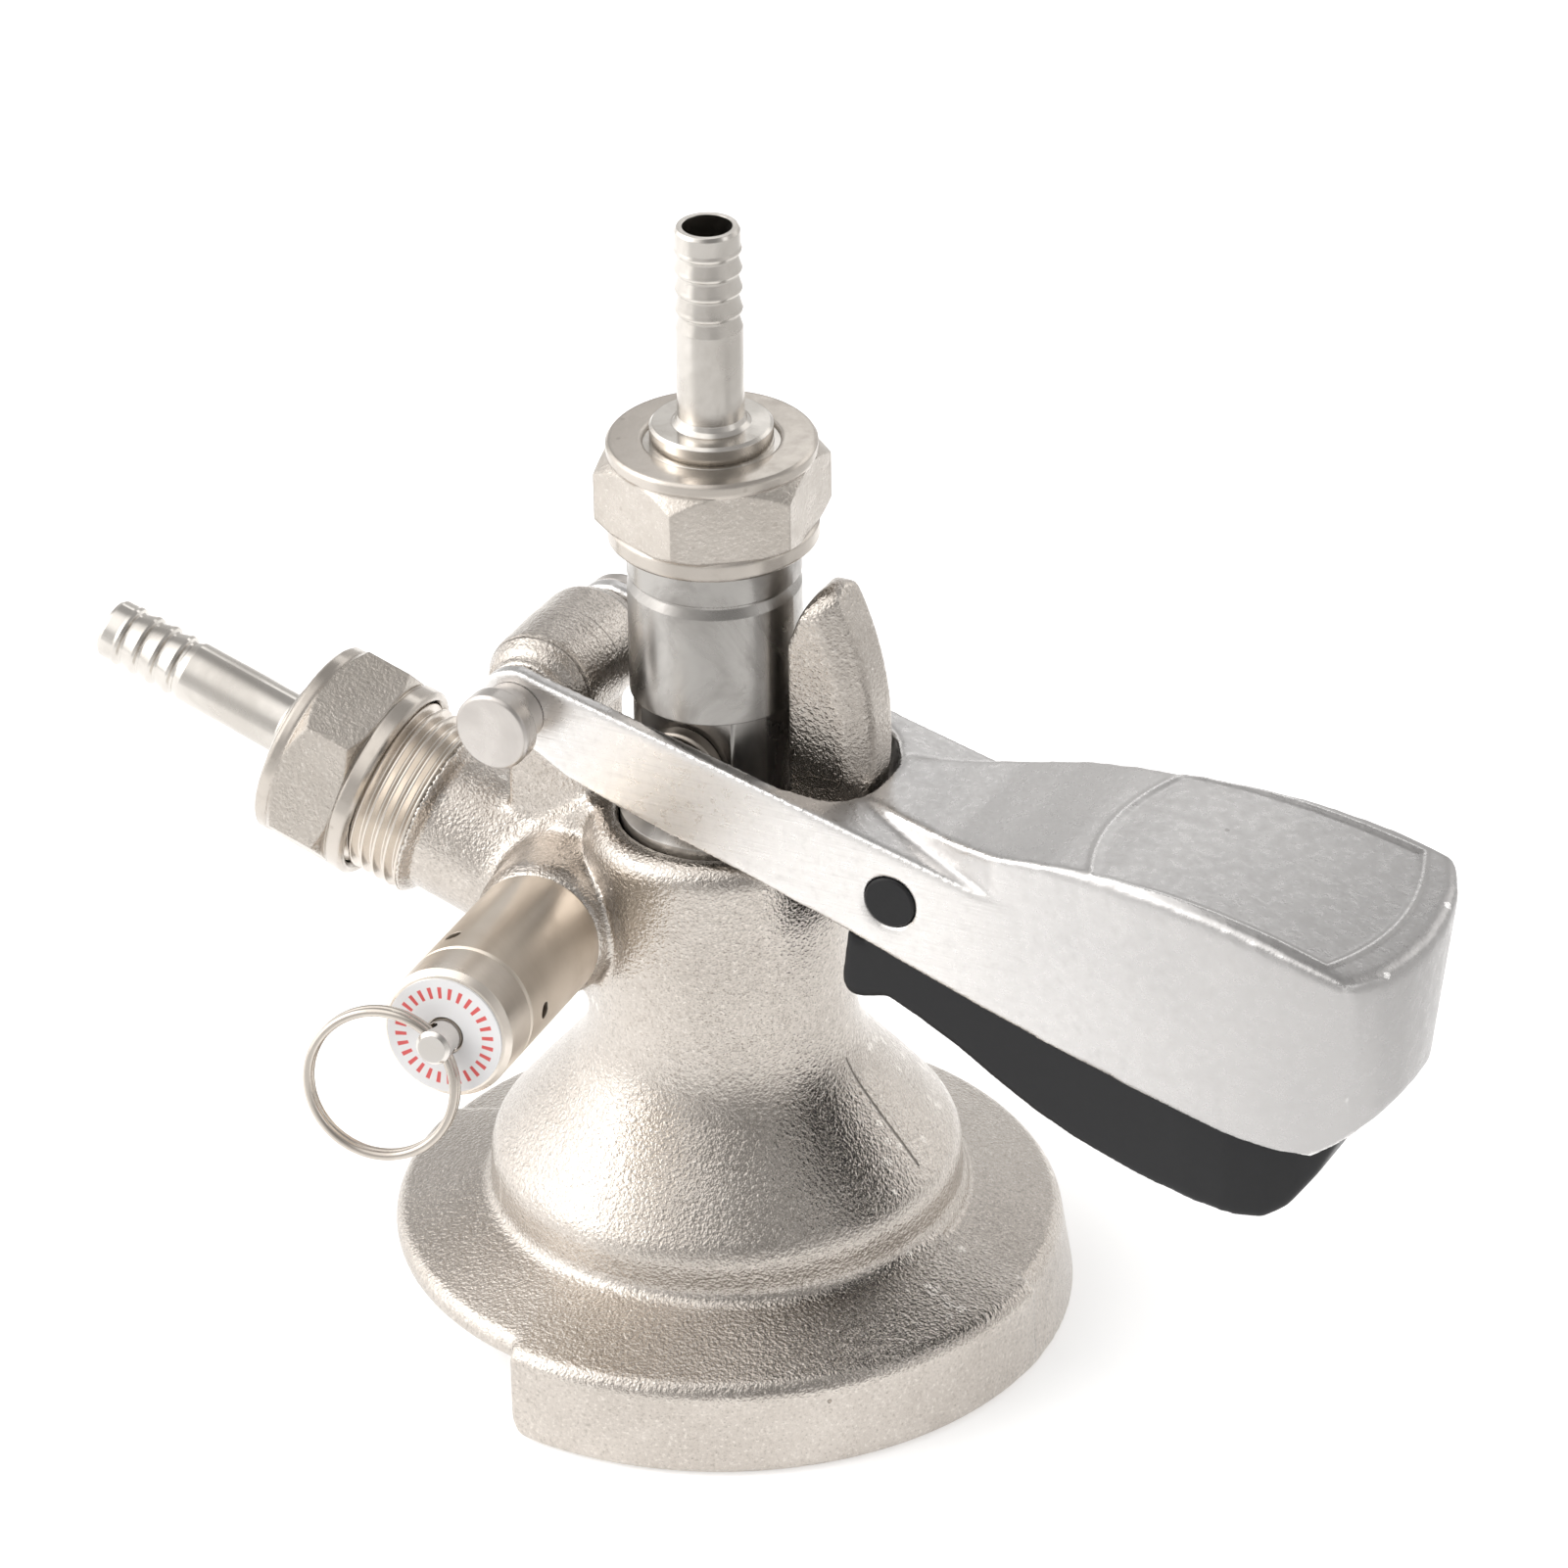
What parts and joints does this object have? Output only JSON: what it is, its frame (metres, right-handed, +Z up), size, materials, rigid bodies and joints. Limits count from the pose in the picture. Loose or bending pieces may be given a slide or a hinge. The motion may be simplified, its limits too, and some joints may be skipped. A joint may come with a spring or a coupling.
{
  "type": "keg coupler",
  "caption": "Lever-operated beer keg coupler with sliding probe, angled gas inlet, pull-ring relief valve and slide-on keg base.",
  "frame": {"origin": "probe axis at the underside of the base, where it stands on a flat surface", "axes": "+Z up along the probe, +X towards the lever's grip, so -X is the gas inlet and the side the keg flange slides in from"},
  "size_m": [0.2004, 0.1098, 0.1629],
  "materials": {
    "nickel_casting": "nickel-plated sand-cast grain",
    "machined_nickel": "satin nickel plate",
    "stainless_turned": "turned and polished",
    "handle_casting": "satin cast, bright edges",
    "black_plastic": "satin",
    "white_plastic": "satin",
    "seal_rubber": "matt",
    "disc_white": "satin"
  },
  "bodies": {
    "body": {"body_casting": "nickel_casting", "keg_face_seal": "seal_rubber", "duckbill_valve": "seal_rubber", "gas_washer": "seal_rubber", "relief_valve_body": "machined_nickel", "relief_valve_cap": "machined_nickel", "relief_disc": "disc_white", "relief_spring": "stainless_turned", "relief_o_ring": "seal_rubber"},
    "probe_body": {"probe": "stainless_turned", "probe_bottom_seal": "seal_rubber", "probe_o_ring": "seal_rubber", "ball_retainer": "white_plastic", "beer_washer": "seal_rubber"},
    "check_ball_body": {"check_ball": "black_plastic"},
    "beer_nut": {"beer_hex_nut": "machined_nickel"},
    "beer_tail": {"beer_tailpiece": "stainless_turned"},
    "gas_nut": {"gas_hex_nut": "machined_nickel"},
    "gas_tail": {"gas_tailpiece": "stainless_turned"},
    "handle": {"handle_fork": "handle_casting", "pivot_pin": "stainless_turned", "pivot_retaining_clip": "stainless_turned", "pivot_washer": "stainless_turned", "drive_rollers": "stainless_turned", "trigger_pin": "stainless_turned", "trigger_pin_caps": "black_plastic", "trigger_spring": "stainless_turned"},
    "trigger_body": {"trigger": "black_plastic"},
    "relief_plunger": {"relief_stem": "stainless_turned", "relief_poppet": "stainless_turned"},
    "pull_ring_body": {"pull_ring": "stainless_turned"}
  },
  "joints": [
    {"name": "handle_lift", "type": "hinge", "parent": "body", "child": "handle", "pos_m": [-0.0228, 0, 0.0928], "axis": [0, -1, 0], "range_deg": [0, 32]},
    {"name": "probe_slide", "type": "slide", "parent": "body", "child": "probe_body", "axis": [0, 0, 1], "range_m": [0, 0.013]},
    {"name": "check_ball_lift", "type": "slide", "parent": "probe_body", "child": "check_ball_body", "axis": [0, 0, 1], "range_m": [0, 0.003]},
    {"name": "beer_nut_turn", "type": "hinge", "parent": "probe_body", "child": "beer_nut", "pos_m": [0, 0, 0.125], "axis": [0, 0, 1], "continuous": true},
    {"name": "beer_tail_swivel", "type": "hinge", "parent": "probe_body", "child": "beer_tail", "pos_m": [0, 0, 0.14], "axis": [0, 0, 1], "continuous": true},
    {"name": "gas_nut_turn", "type": "hinge", "parent": "body", "child": "gas_nut", "pos_m": [-0.05716, 0, 0.06914], "axis": [-0.9527, 0, 0.304], "continuous": true},
    {"name": "gas_tail_swivel", "type": "hinge", "parent": "body", "child": "gas_tail", "pos_m": [-0.07145, 0, 0.0737], "axis": [-0.9527, 0, 0.304], "continuous": true},
    {"name": "trigger_squeeze", "type": "hinge", "parent": "handle", "child": "trigger_body", "pos_m": [0.0326, 0, 0.0772], "axis": [0, -1, 0], "range_deg": [0, 5], "stiffness_Nm_per_rad": 0.6, "springref_deg": -11.46},
    {"name": "relief_pull", "type": "slide", "parent": "body", "child": "relief_plunger", "axis": [0.1279, -0.9847, 0.1184], "range_m": [0, 0.0025], "stiffness_N_per_m": 1500, "springref_m": -0.004, "deforming": ["relief_spring"]},
    {"name": "pull_ring_swing", "type": "hinge", "parent": "relief_plunger", "child": "pull_ring_body", "pos_m": [-0.01329, -0.05475, 0.06588], "axis": [0.6749, -0.0011, -0.7379], "range_deg": [-60, 8]}
  ],
  "couplings": [
    {"joint": "probe_slide", "follows": "handle_lift", "m_per_rad": 0.02316}
  ]
}
